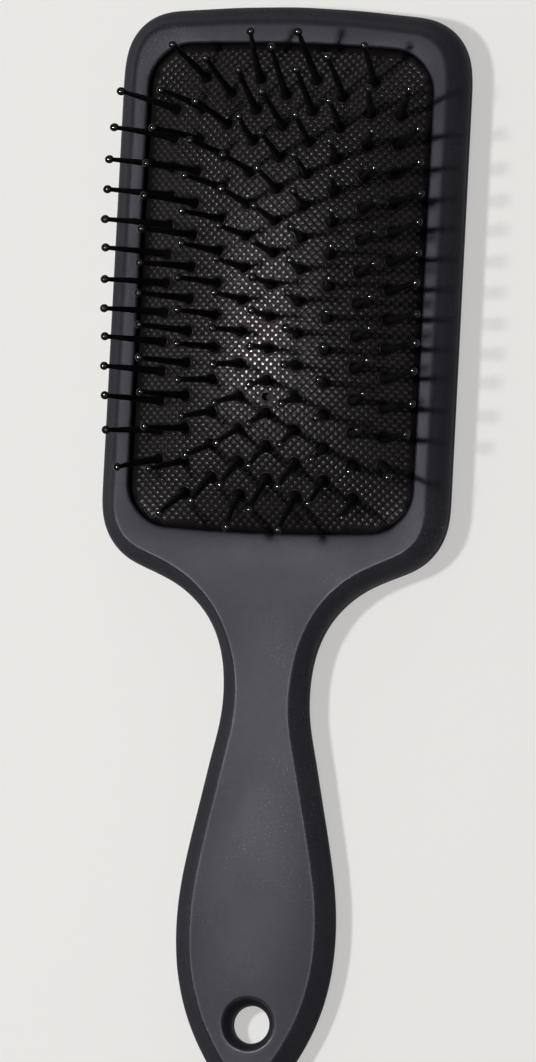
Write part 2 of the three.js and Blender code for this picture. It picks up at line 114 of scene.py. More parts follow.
# ------------------------------------------------------------------ mesh building
class Build:
    """Vertices in mm and faces, gathered piece by piece, with a per-vertex value that marks worn edges and where a
    highlight is painted or made glossier.
    """

    def __init__(self):
        self.v, self.f, self.w, self.nrm, self.n = [], [], [], [], 0

    def add(self, pts, wear_and_highlight=0.0, normal=None):
        pts = np.asarray(pts, float).reshape(-1, 3)
        start = self.n
        self.v.append(pts)
        self.nrm.append(np.zeros((len(pts), 3)) if normal is None else normal)
        self.w.append(np.broadcast_to(np.asarray(wear_and_highlight, float), (len(pts),)).copy())
        self.n += len(pts)
        return np.arange(start, self.n)

    def face(self, arr):
        self.f.extend(np.asarray(arr, int).tolist())

    def strip(self, a, b, flip=False):
        """Quads between two closed rings of the same count."""
        a2, b2 = np.roll(a, -1), np.roll(b, -1)
        q = np.stack([a, a2, b2, b], 1) if not flip else np.stack([a, b, b2, a2], 1)
        self.face(q)

    def fan(self, ring, centre, flip=False):
        r2 = np.roll(ring, -1)
        c = np.full(len(ring), centre)
        self.face(np.stack([ring, r2, c], 1) if not flip else np.stack([r2, ring, c], 1))

    def make(self, name, material):
        me = bpy.data.meshes.new(name)
        verts = np.concatenate(self.v) * MM
        me.from_pydata(verts.tolist(), [], self.f)
        me.polygons.foreach_set("use_smooth", np.ones(len(me.polygons), bool))
        at = me.attributes.new("wear_and_highlight", "FLOAT", "POINT")
        at.data.foreach_set("value", np.concatenate(self.w).astype(np.float32))
        me.materials.append(material)
        me.update()
        given = np.concatenate(self.nrm)
        has = np.abs(given).sum(1) > 0
        if has.any():
            auto = np.empty(len(me.vertices) * 3, np.float32)
            me.vertex_normals.foreach_get("vector", auto)
            auto = auto.reshape(-1, 3)
            auto[has] = given[has]
            me.normals_split_custom_set_from_vertices(auto.tolist())
        ob = bpy.data.objects.new(name, me)
        bpy.context.scene.collection.objects.link(ob)
        return ob


def inside(poly, pts):
    """Even-odd test of many points against one closed polygon."""
    x, y = pts[:, 0], pts[:, 1]
    res = np.zeros(len(pts), bool)
    x0, y0 = poly[:, 0], poly[:, 1]
    x1, y1 = np.roll(x0, -1), np.roll(y0, -1)
    for a, b, c, d in zip(x0, y0, x1, y1):
        if b == d:
            continue
        hit = ((b > y) != (d > y)) & (x < (c - a) * (y - b) / (d - b) + a)
        res ^= hit
    return res


def fill(loops, grid, keep=None):
    """Triangles over the region inside loops[0] and outside the others, with the given free points.
    Points are (N,2) arrays; returns (points, triangles) with the loops' points first, in order."""
    pts = np.concatenate(list(loops) + [grid]) if len(grid) else np.concatenate(list(loops))
    edges, at = [], 0
    for lp in loops:
        n = len(lp)
        edges += [(at + i, at + (i + 1) % n) for i in range(n)]
        at += n
    out = geometry.delaunay_2d_cdt([Vector(p) for p in pts], edges, [], 0, 1e-7)
    ov, of, orig = out[0], out[2], out[3]
    first = {}
    for k, src in enumerate(orig):
        if src:
            first[k] = src[0]
    assert len(first) == len(ov), "a crossing in a filled region"
    tri = np.array([[first[i] for i in t] for t in of], int)
    mid = pts[tri].mean(1)
    ok = inside(loops[0], mid)
    for lp in loops[1:]:
        ok &= ~inside(lp, mid)
    if keep is not None:
        ok &= keep(mid)
    a, b, c = pts[tri[:, 0]], pts[tri[:, 1]], pts[tri[:, 2]]
    area = (b[:, 0] - a[:, 0]) * (c[:, 1] - a[:, 1]) - (b[:, 1] - a[:, 1]) * (c[:, 0] - a[:, 0])
    # regions of triangles that meet across anything but a loop's edge: a region is kept or dropped as a whole, so that
    # no sliver along a straight stretch of a loop is kept on the wrong side or lost on the right one
    wall = {(min(e), max(e)) for e in edges}
    root = list(range(len(tri)))

    def find(i):
        while root[i] != i:
            root[i] = root[root[i]]
            i = root[i]
        return i

    seen = {}
    for k, t in enumerate(tri.tolist()):
        for i, j in ((t[0], t[1]), (t[1], t[2]), (t[2], t[0])):
            e = (min(i, j), max(i, j))
            if e in wall:
                continue
            if e in seen:
                root[find(k)] = find(seen[e])
            seen[e] = k
    group = np.array([find(k) for k in range(len(tri))])
    whole = np.bincount(group, weights=np.abs(area), minlength=len(tri))
    wanted = np.bincount(group, weights=np.abs(area) * ok, minlength=len(tri))
    on = ((wanted > 0.5 * whole) & (whole > 1e-3))[group]
    tri, area = tri[on], area[on]
    if area[np.abs(area).argmax()] < 0:
        tri = tri[:, ::-1]
    return pts, tri


def free_points(loops, pitch, margin, box):
    """Staggered grid of points inside the region and at least margin away from its loops."""
    x0, y0, x1, y1 = box
    rows = []
    k = 0
    y = y0
    while y <= y1:
        xs = np.arange(x0 + (pitch / 2 if k % 2 else 0), x1, pitch)
        rows.append(np.stack([xs, np.full(len(xs), y)], 1))
        y += pitch * 0.866
        k += 1
    p = np.concatenate(rows)
    ok = inside(loops[0], p)
    for lp in loops[1:]:
        ok &= ~inside(lp, p)
    p = p[ok]
    far = np.ones(len(p), bool)
    for lp in loops:
        for i in range(0, len(p), 4000):
            d = np.linalg.norm(p[i:i + 4000, None, :] - lp[None], axis=2).min(1)
            far[i:i + 4000] &= d > margin
    return p[far]


def outline_ring(count):
    """The body's outline as a smooth closed curve: x, y and outward normal, counter-clockwise."""
    right = np.array(OUTLINE, float)
    left = right[1:-1][::-1] * [-1, 1]
    ctrl = np.concatenate([right, left])[::-1]
    n = len(ctrl)
    seg = np.linalg.norm(np.roll(ctrl, -1, 0) - ctrl, axis=1)
    t = np.concatenate([[0], np.cumsum(seg)])
    h = seg
    m = np.zeros((n, n))
    rhs = np.zeros((n, 2))
    for i in range(n):
        hp, hn = h[i - 1], h[i]
        m[i, i - 1] += hp
        m[i, i] += 2 * (hp + hn)
        m[i, (i + 1) % n] += hn
        rhs[i] = 6 * ((ctrl[(i + 1) % n] - ctrl[i]) / hn - (ctrl[i] - ctrl[i - 1]) / hp)
    sec = np.linalg.solve(m, rhs)

    def at(s):
        s = s % t[-1]
        i = np.clip(np.searchsorted(t, s, "right") - 1, 0, n - 1)
        j = (i + 1) % n
        a, b = (t[i + 1] - s)[:, None], (s - t[i])[:, None]
        hh = h[i][:, None]
        return (sec[i] * a ** 3 + sec[j] * b ** 3) / (6 * hh) + (ctrl[i] / hh - sec[i] * hh / 6) * a + (ctrl[j] / hh - sec[j] * hh / 6) * b

    p = at(np.linspace(0, t[-1], 8192, endpoint=False))
    for _ in range(3):
        d = np.linalg.norm(np.roll(p, -1, 0) - p, axis=1)
        c = np.concatenate([[0], np.cumsum(d)])
        s = np.linspace(0, c[-1], 8192, endpoint=False)
        q = np.concatenate([p, p[:1]])
        p = np.stack([np.interp(s, c, q[:, 0]), np.interp(s, c, q[:, 1])], 1)
    length = c[-1]
    z = p[:, 0] + 1j * p[:, 1]
    k = np.fft.fftfreq(8192, 1 / 8192) * 2 * math.pi / length
    g = np.exp(-((k * 2.2) ** 2) / 2)
    z = np.fft.ifft(np.fft.fft(z) * (1 - (1 - g) ** 3))
    dz = np.fft.ifft(np.fft.fft(z) * 1j * k)
    idx = (np.arange(count) * 8192 / count).astype(int)
    z, dz = z[idx], dz[idx] / np.abs(dz[idx])
    return np.stack([z.real, z.imag], 1), np.stack([dz.imag, -dz.real], 1)


def open_ring(grow, count=400):
    """The cushion opening grown by grow: a round-cornered rectangle with bowed ends, centred on PAD_Y."""
    hx, hy, r = OPEN_X + grow, OPEN_Y + grow, OPEN_R + grow
    pts = []
    for cx, cy, a0 in ((1, 1, 0), (-1, 1, 0.5), (-1, -1, 1.0), (1, -1, 1.5)):
        for i in range(48):
            a = math.pi * (a0 + 0.5 * i / 48)
            pts.append((cx * (hx - r) + r * math.cos(a), cy * (hy - r) + r * math.sin(a)))
    q = np.array(pts)
    q = np.concatenate([q, q[:1]])
    d = np.concatenate([[0], np.cumsum(np.linalg.norm(np.diff(q, axis=0), axis=1))])
    s = np.linspace(0, d[-1], count, endpoint=False)
    x, y = np.interp(s, d, q[:, 0]), np.interp(s, d, q[:, 1])
    y = y + np.sign(y) * OPEN_BOW * (1 - (x / hx) ** 2) * smooth((np.abs(y) - (hy - r)) / r)
    return np.stack([x, y + PAD_Y], 1)


def lathe(b, profile, origin, axis, seg, phase=0.0, wear_and_highlight=0.0, caps=(True, True), rejoin=False):
    """Surface of revolution about axis from origin. profile is (radius, distance along axis); radius 0 is a point.
    caps closes an open end with a fan, rejoin joins the last ring back to the first."""
    axis = np.asarray(axis, float) / np.linalg.norm(axis)
    ref = np.array([0.0, 1.0, 0.0]) if abs(axis[1]) < 0.9 else np.array([1.0, 0, 0])
    e1 = np.cross(ref, axis)
    e1 /= np.linalg.norm(e1)
    e2 = np.cross(axis, e1)
    a = np.arange(seg) * 2 * math.pi / seg + phase
    ring_dir = np.cos(a)[:, None] * e1 + np.sin(a)[:, None] * e2
    rings = []
    for k, (r, h) in enumerate(profile):
        w = wear_and_highlight[k] if np.ndim(wear_and_highlight) else wear_and_highlight
        rings.append(b.add(origin + axis * h + (ring_dir * r if r > 0 else 0), w))
    for lo, hi in zip(rings[:-1], rings[1:]):
        if len(lo) == 1:
            b.fan(hi, lo[0], flip=True)
        elif len(hi) == 1:
            b.fan(lo, hi[0])
        else:
            b.strip(lo, hi)
    if rejoin:
        b.strip(rings[-1], rings[0])
        return
    if len(rings[0]) > 1 and caps[0]:
        b.fan(rings[0], b.add(origin + axis * profile[0][1])[0], flip=True)
    if len(rings[-1]) > 1 and caps[1]:
        b.fan(rings[-1], b.add(origin + axis * profile[-1][1])[0])


# ------------------------------------------------------------------ materials
def new_material(name):
    m = bpy.data.materials.new(name)
    m.use_nodes = True
    t = m.node_tree
    t.nodes.clear()
    out = t.nodes.new("ShaderNodeOutputMaterial")
    p = t.nodes.new("ShaderNodeBsdfPrincipled")
    t.links.new(p.outputs["BSDF"], out.inputs["Surface"])
    return m, t, p


def node(t, kind, **props):
    n = t.nodes.new(kind)
    ins = props.pop("ins", {})
    for k, v in props.items():
        setattr(n, k, v)
    for k, v in ins.items():
        n.inputs[k].default_value = v
    return n


def noise(t, coord, scale, detail=2.0, rough=0.5, distort=0.0):
    n = node(t, "ShaderNodeTexNoise", ins={"Scale": scale, "Detail": detail, "Roughness": rough, "Distortion": distort})
    t.links.new(coord, n.inputs["Vector"])
    return n.outputs["Fac"]


def remap(t, value, a, b, c, d):
    n = node(t, "ShaderNodeMapRange", ins={"From Min": a, "From Max": b, "To Min": c, "To Max": d})
    n.clamp = True
    t.links.new(value, n.inputs["Value"])
    return n.outputs["Result"]


def calc(t, op, a, b=None, c=None):
    n = node(t, "ShaderNodeMath", operation=op)
    for k, v in enumerate((a, b, c)):
        if v is None:
            continue
        if isinstance(v, (int, float)):
            n.inputs[k].default_value = v
        else:
            t.links.new(v, n.inputs[k])
    return n.outputs[0]


def mix_color(t, fac, a, b):
    n = node(t, "ShaderNodeMix", data_type="RGBA")
    t.links.new(fac, n.inputs["Factor"])
    for sock, v in ((n.inputs[6], a), (n.inputs[7], b)):
        if isinstance(v, tuple):
            sock.default_value = (*v, 1)
        else:
            t.links.new(v, sock)
    return n.outputs[2]


def bump(t, p, height, strength, distance, normal=None):
    n = node(t, "ShaderNodeBump", ins={"Strength": strength, "Distance": distance})
    t.links.new(height, n.inputs["Height"])
    if normal is not None:
        t.links.new(normal, n.inputs["Normal"])
    t.links.new(n.outputs["Normal"], p.inputs["Normal"])
    return n.outputs["Normal"]


def body_material(name, dark=1.0, seed=0.0):
    """Soft-touch moulded plastic: fine grain, faint mottling, edges polished by use and painted lighter as an edge
    highlight, patches of painted sparkle glints, a little dust.
    """
    m, t, p = new_material(name)
    tc = node(t, "ShaderNodeTexCoord").outputs["Object"]
    mp = node(t, "ShaderNodeMapping", ins={"Location": (seed, seed * 0.7, 0)})
    t.links.new(tc, mp.inputs["Vector"])
    co = mp.outputs["Vector"]
    wear_and_highlight = node(t, "ShaderNodeAttribute", attribute_name="wear_and_highlight").outputs["Fac"]
    cloud = noise(t, co, 60, 3, 0.55)  # broad unevenness of the coating
    mottle = noise(t, co, 520, 4, 0.6, 0.3)  # patches about 2 mm across
    grain = noise(t, co, 2300, 3, 0.65)  # moulded grain
    fine = noise(t, co, 5200, 2, 0.6)
    shade = calc(t, "ADD", calc(t, "MULTIPLY", cloud, 0.45), calc(t, "MULTIPLY", mottle, 0.55))
    low = tuple(c * dark for c in (0.0142, 0.0137, 0.0188))
    high = tuple(c * dark for c in (0.0226, 0.0219, 0.0298))
    base = mix_color(t, remap(t, shade, 0.28, 0.75, 0.1, 0.9), low, high)
    # patches of fine light specks painted into the colour as glints: a painted sparkle
    glint_patches = remap(t, noise(t, co, 48, 2, 0.5), 0.50, 0.66, 0.10, 1.0)
    painted_glints = calc(t, "MULTIPLY", remap(t, noise(t, co, 2600, 2, 0.6), 0.60, 0.70, 0, 1), glint_patches)
    base = mix_color(t, calc(t, "MULTIPLY", painted_glints, 0.55), base, (0.115, 0.118, 0.140))
    # specks of dust, and the edge roundings painted lighter: partly tiny scuffs, partly a painted edge highlight
    vor = node(t, "ShaderNodeTexVoronoi", feature="F1", ins={"Scale": 95.0, "Randomness": 1.0})
    t.links.new(co, vor.inputs["Vector"])
    speck = calc(t, "MULTIPLY", remap(t, vor.outputs["Distance"], 0.030, 0.016, 0, 1),
                 remap(t, noise(t, co, 41, 1), 0.60, 0.66, 0, 1))
    scuffs_and_edge_highlight = calc(t, "MULTIPLY", wear_and_highlight, remap(t, noise(t, co, 900, 4, 0.7), 0.45, 0.62, 0, 1))
    base = mix_color(t, calc(t, "MULTIPLY", scuffs_and_edge_highlight, 0.18), base, (0.10, 0.104, 0.112))
    base = mix_color(t, calc(t, "MULTIPLY", speck, 0.5), base, (0.30, 0.30, 0.30))
    t.links.new(base, p.inputs["Base Color"])
    rough = calc(t, "ADD", remap(t, mottle, 0.3, 0.7, 0.02, -0.01), remap(t, grain, 0.35, 0.65, -0.03, 0.03))
    rough = calc(t, "ADD", rough, remap(t, noise(t, co, 26, 2, 0.5), 0.35, 0.65, 0.48, 0.40))
    rough = calc(t, "SUBTRACT", rough, calc(t, "MULTIPLY", wear_and_highlight, 0.18))
    # the broad faces are smoother than the side walls, which keep the texture of the mould
    parts = node(t, "ShaderNodeSeparateXYZ")
    t.links.new(node(t, "ShaderNodeTexCoord").outputs["Normal"], parts.inputs[0])
    wall = remap(t, calc(t, "ABSOLUTE", parts.outputs["Z"]), 0.55, 0.97, 1, 0)
    t.links.new(calc(t, "ADD", rough, calc(t, "MULTIPLY", wall, 0.10)), p.inputs["Roughness"])
    gloss = calc(t, "ADD", remap(t, wall, 0.0, 1.0, 0.25, 0.08), calc(t, "MULTIPLY", wear_and_highlight, 0.34))
    # the grip is polished by the hand, the head less so
    place = node(t, "ShaderNodeSeparateXYZ")
    t.links.new(tc, place.inputs[0])
    t.links.new(calc(t, "MULTIPLY", gloss, remap(t, place.outputs["Y"], -0.008, 0.040, 1.0, 0.66)), p.inputs["Specular IOR Level"])
    p.inputs["Specular Tint"].default_value = (0.86, 0.86, 1.0, 1)
    h = calc(t, "ADD", calc(t, "MULTIPLY", grain, 0.7), calc(t, "MULTIPLY", fine, 0.3))
    n1 = bump(t, p, h, 0.32, 0.00006)
    bump(t, p, mottle, 0.08, 0.00020, n1)
    return m


def rubber_material(name):
    """Satin black rubber, glossier on the tops of the dots, which are also painted lighter than the hollows as a
    painted highlight.
    """
    m, t, p = new_material(name)
    co = node(t, "ShaderNodeTexCoord").outputs["Object"]
    top = node(t, "ShaderNodeAttribute", attribute_name="wear_and_highlight").outputs["Fac"]
    cloud = noise(t, co, 90, 3, 0.6)
    mott = noise(t, co, 700, 3, 0.6)
    fine = noise(t, co, 4200, 3, 0.6)
    base = mix_color(t, remap(t, cloud, 0.35, 0.65, 0, 1), (0.0052, 0.0042, 0.0048), (0.0095, 0.0078, 0.0088))
    # the dot tops are painted lighter than the hollows: a painted highlight on the tops
    base = mix_color(t, calc(t, "MULTIPLY", top, 0.6), base, (0.0150, 0.0130, 0.0145))
    t.links.new(base, p.inputs["Base Color"])
    rough = calc(t, "ADD", remap(t, mott, 0.3, 0.7, 0.40, 0.34), remap(t, top, 0.4, 1.0, 0, -0.11))
    t.links.new(rough, p.inputs["Roughness"])
    t.links.new(remap(t, top, 0.15, 0.90, 0.12, 0.58), p.inputs["Specular IOR Level"])
    p.inputs["Specular Tint"].default_value = (1.0, 0.91, 0.95, 1)
    n1 = bump(t, p, fine, 0.12, 0.00004)
    bump(t, p, mott, 0.06, 0.00010, n1)
    return m


def nylon_material(name):
    """Glossy black nylon with slight flow marks along each pin."""
    m, t, p = new_material(name)
    co = node(t, "ShaderNodeTexCoord").outputs["Object"]
    ball = node(t, "ShaderNodeAttribute", attribute_name="wear_and_highlight").outputs["Fac"]
    mp = node(t, "ShaderNodeMapping", ins={"Scale": (1.0, 1.0, 0.22)})
    t.links.new(co, mp.inputs["Vector"])
    flow = noise(t, mp.outputs["Vector"], 1500, 3, 0.6)
    each = noise(t, co, 120, 1, 0.5)
    base = mix_color(t, remap(t, each, 0.35, 0.65, 0, 1), (0.0035, 0.0032, 0.0036), (0.0070, 0.0064, 0.0070))
    t.links.new(base, p.inputs["Base Color"])
    rough = calc(t, "ADD", remap(t, flow, 0.3, 0.7, 0.26, 0.36), calc(t, "MULTIPLY", ball, -0.19))
    t.links.new(rough, p.inputs["Roughness"])
    facing = node(t, "ShaderNodeLayerWeight", ins={"Blend": 0.5}).outputs["Facing"]
    polish = calc(t, "MULTIPLY", ball, remap(t, facing, 0.05, 0.18, 1.0, 0.0))
    t.links.new(remap(t, polish, 0.0, 1.0, 0.06, 0.80), p.inputs["Specular IOR Level"])
    t.links.new(polish, p.inputs["Coat Weight"])
    p.inputs["Coat Roughness"].default_value = 0.10
    p.inputs["Coat IOR"].default_value = 1.9
    bump(t, p, flow, 0.12, 0.00004)
    return m


def tray_material(name):
    m, t, p = new_material(name)
    co = node(t, "ShaderNodeTexCoord").outputs["Object"]
    grain = noise(t, co, 1600, 4, 0.6)
    base = mix_color(t, grain, (0.020, 0.020, 0.021), (0.034, 0.034, 0.036))
    t.links.new(base, p.inputs["Base Color"])
    t.links.new(remap(t, grain, 0.3, 0.7, 0.5, 0.65), p.inputs["Roughness"])
    bump(t, p, grain, 0.25, 0.00008)
    return m


M_FRONT = body_material("soft_touch_front")
M_REAR = body_material("soft_touch_rear", dark=0.92, seed=0.31)
M_PAD = rubber_material("satin_rubber")
M_PIN = nylon_material("gloss_nylon")
M_TRAY = tray_material("moulded_tray")

# ------------------------------------------------------------------ shared rings of the body
N_OUT = 960
P, NRM = outline_ring(N_OUT)


def inset(d):
    return P - NRM * np.broadcast_to(d, (len(P),))[:, None]


# half width of the rounding along the edge of the front face: soft on the head, tight on the neck and handle
LAND = 0.48 + 0.62 * smooth((P[:, 1] + 4) / 22)
D_SIDE = side_in(P[:, 1])
FACE_LOOP = inset(D_SIDE + LAND)
FZ = face_z(FACE_LOOP[:, 1])  # height of the edge where the face begins
SZ = seam_z(P[:, 1])

# half width of the face loop on the handle, used for the slight crown of the handle's face
_h = FACE_LOOP[(FACE_LOOP[:, 0] > 0) & (FACE_LOOP[:, 1] < 6)]
_h = _h[np.argsort(_h[:, 1])]
END_Y = FACE_LOOP[:, 1].min()


def half_face(y):
    return np.interp(y, np.concatenate([[END_Y], _h[:, 1]]), np.concatenate([[0], _h[:, 0]]))


def crown(x, y):
    k = 0.0036 * smooth((-6 - y) / 30)
    w = half_face(y)
    return k * np.maximum(w * w - x * x, 0)


ROLL_SLOPE, ROLL_REACH = 0.13, 8.0  # the head's face rolls down towards the opening


def nearest(x, y, loop):
    p = np.column_stack([np.ravel(x), np.ravel(y)])
    d = [np.linalg.norm(p[i:i + 2000, None] - loop[None], axis=2).min(1) for i in range(0, len(p), 2000)]
    return np.concatenate(d)


def roll_down(x, y, away=None):
    """How far the face of the head lies below its plane: it starts at the face's outer edge and is steepest at the opening."""
    x, y = np.atleast_1d(np.asarray(x, float)), np.atleast_1d(np.asarray(y, float))
    out = np.zeros(len(x))
    on = y > -12
    if on.any():
        d = nearest(x[on], y[on], open_ring(0.0, 2400)) if away is None else np.full(on.sum(), float(away))
        reach = ROLL_REACH * (1 - np.exp(-(d + nearest(x[on], y[on], FACE_LOOP)) / ROLL_REACH))
        out[on] = ROLL_SLOPE * reach / 2 * np.clip(1 - d / reach, 0, 1) ** 2
    return out


def face_height(x, y):
    return face_z(y) + crown(x, y) - (roll_down(x, y) if np.ndim(x) else 0.0)


def bezier_side(d, h, a0, a1, t):
    """Points (inset, height) of a convex side that leaves the seam at angle a0 and meets the face at angle a1."""
    c0, s0, c1, s1 = np.cos(a0), np.sin(a0), np.cos(a1), np.sin(a1)
    det = c0 * s1 - s0 * c1
    a = (d * s1 - h * c1) / det
    px, pz = a * c0, a * s0
    u = 2 * t * (1 - t) * px + t * t * d
    z = 2 * t * (1 - t) * pz + t * t * h
    return u, z


# ------------------------------------------------------------------ front shell
def front_shell():
    b = Build()
    y = P[:, 1]
    blend = smooth((4 - y) / 40)
    a0 = np.radians(88 * (1 - blend) + 80 * blend)
    a1 = np.radians(41 * (1 - blend) + 34 * blend)
    rows = []

    def row(off, z, wear_and_highlight=0.0):
        q = inset(off)
        rows.append(b.add(np.column_stack([q, np.broadcast_to(z, (len(P),))]), wear_and_highlight))

    # inner wall, bottom edge, then up the outside
    ceiling = lambda yy: 13.05 * (1 - smooth((0 - yy) / 30)) + (face_z(yy) - 1.7) * smooth((0 - yy) / 30)
    di = 4.2 + 0.8 * smooth((2 - y) / 20)
    q = inset(di)
    rows.append(b.add(np.column_stack([q, ceiling(q[:, 1])])))
    row(WALL, SZ + 1.35)
    row(WALL, SZ + 0.13)
    row(0.62, SZ + 0.12)
    row(0.22, SZ + 0.13)
    row(0.07, SZ + 0.21)
    row(0.0, SZ + 0.42)
    h0 = 0.42
    dd, hh = D_SIDE, FZ - SZ - h0
    # how far along the side the edge rounding starts
    end = 1 - LAND / np.hypot(dd, hh) * 0.62
    for t in np.linspace(0.09, 1.0, 11):
        u, z = bezier_side(dd, hh, a0, a1, t * end)
        row(u, SZ + h0 + z, 0.25 * max(0.0, (t - 0.8) / 0.2))
    u0, z0 = bezier_side(dd, hh, a0, a1, end)
    # the rounding is marked for wear and the painted edge highlight, strongest at its middle and weaker on the head
    for k, t in enumerate(np.linspace(0, 1, 8)[1:]):
        # quadratic rounding with its corner on the meeting line
        u = (1 - t) ** 2 * u0 + 2 * t * (1 - t) * dd + t * t * (dd + LAND)
        z = (1 - t) ** 2 * z0 + 2 * t * (1 - t) * hh + t * t * hh
        q = inset(u)
        zz = SZ + h0 + z
        rows.append(b.add(np.column_stack([q, zz]), (0.5, 0.9, 1.0, 1.0, 0.8, 0.45, 0.12)[k] * (1 - 0.75 * smooth((y + 4) / 22))))
    outer = inset(D_SIDE + LAND + 0.4)
    rows.append(b.add(np.column_stack([outer, face_height(outer[:, 0], outer[:, 1])])))
    for k in range(len(rows) - 1):
        b.strip(rows[k], rows[k + 1])
    # the hang hole: from the face down the countersink to the throat
    n_h = 96
    ang = np.arange(n_h) * 2 * math.pi / n_h
    circ = np.stack([np.cos(ang), np.sin(ang)], 1)
    zh = float(face_height(0.0, HANG_Y))
    sh = float(seam_z(HANG_Y))

    def hole(r, dz, mixin, wear_and_highlight=0.0):
        q = circ * r + [0, HANG_Y]
        local = face_height(q[:, 0], q[:, 1])
        z = local * (1 - mixin) + zh * mixin - dz
        return b.add(np.column_stack([q, z]), wear_and_highlight)

    # last column marks wear and the painted highlight on the countersink's edges
    prof = [(7.6, 0.0, 0.0, 0.0), (6.90, 0.0, 0.0, 0.05), (6.66, 0.015, 0.0, 0.5), (6.47, 0.07, 0.02, 0.9), (6.33, 0.17, 0.08, 1.0), (6.25, 0.32, 0.2, 0.8),
            (6.20, 0.52, 0.35, 0.35), (6.10, 0.85, 0.6, 0.1), (5.82, 1.50, 0.85, 0), (5.42, 2.12, 1, 0), (5.08, 2.58, 1, 0.1), (4.84, 2.88, 1, 0.5),
            (4.66, 3.13, 1, 0.9), (4.55, 3.40, 1, 0.6), (4.5, 3.70, 1, 0.1)]
    rings = [hole(*p) for p in prof]
    rings.append(b.add(np.column_stack([circ * 4.5 + [0, HANG_Y], np.full(n_h, sh + 0.17)])))
    rings.append(b.add(np.column_stack([circ * 4.6 + [0, HANG_Y], np.full(n_h, sh + 0.12)])))
    rings.append(b.add(np.column_stack([circ * 7.6 + [0, HANG_Y], np.full(n_h, sh + 0.12)])))
    boss = circ * 7.6 + [0, HANG_Y]
    rings.append(b.add(np.column_stack([boss, ceiling(boss[:, 1])])))
    for k in range(len(rings) - 1):
        b.strip(rings[k], rings[k + 1])
    hole_loop = circ * 7.6 + [0, HANG_Y]

    # the opening: rounded lip, wall, underside
    def ring_at(grow, z, wear_and_highlight=0.0):
        q = open_ring(grow)
        return b.add(np.column_stack([q, z - roll_down(q[:, 0], q[:, 1], grow) * np.clip((z - 15.2) / 1.0, 0, 1)]), wear_and_highlight)

    # last column marks wear and the painted highlight on the rounded lip
    oprof = [(1.65, 16.4, 0.0), (1.35, 16.4, 0.0), (1.05, 16.4, 0.0), (0.80, 16.4, 0.0), (0.60, 16.395, 0.1), (0.46, 16.385, 0.3), (0.32, 16.34, 0.5),
             (0.20, 16.26, 0.6), (0.11, 16.15, 0.5), (0.05, 16.01, 0.3), (0.01, 15.83, 0.1), (0.0, 15.20, 0), (0.0, 13.20, 0), (0.12, 13.05, 0),
             (2.75, 13.05, 0)]
    orings = [ring_at(*p) for p in oprof]
    for k in range(len(orings) - 1):
        b.strip(orings[k], orings[k + 1])
    # front face
    lip = open_ring(oprof[0][0])
    loops = [outer, lip, hole_loop]
    grid = free_points(loops, 1.5, 0.75, (-42, -130, 42, 131))
    pts, tri = fill(loops, grid)
    n0, n1, n2 = len(outer), len(lip), len(hole_loop)
    ids = np.empty(len(pts), int)
    ids[:n0] = rows[-1]
    ids[n0:n0 + n1] = orings[0]
    ids[n0 + n1:n0 + n1 + n2] = rings[0]
    g = pts[n0 + n1 + n2:]
    ids[n0 + n1 + n2:] = b.add(np.column_stack([g, face_height(g[:, 0], g[:, 1])]))
    b.face(ids[tri])
    # ceiling inside
    inner = inset(di)
    flange = open_ring(2.75)
    loops = [inner, flange, boss]
    grid = free_points(loops, 5.0, 2.0, (-42, -130, 42, 131))
    pts, tri = fill(loops, grid)
    ids = np.empty(len(pts), int)
    ids[:n0] = rows[0]
    ids[n0:n0 + n1] = orings[-1]
    ids[n0 + n1:n0 + n1 + n2] = rings[-1]
    g = pts[n0 + n1 + n2:]
    ids[n0 + n1 + n2:] = b.add(np.column_stack([g, ceiling(g[:, 1])]))
    b.face(ids[tri][:, ::-1])
    return b.make("front_shell_visual", M_FRONT)


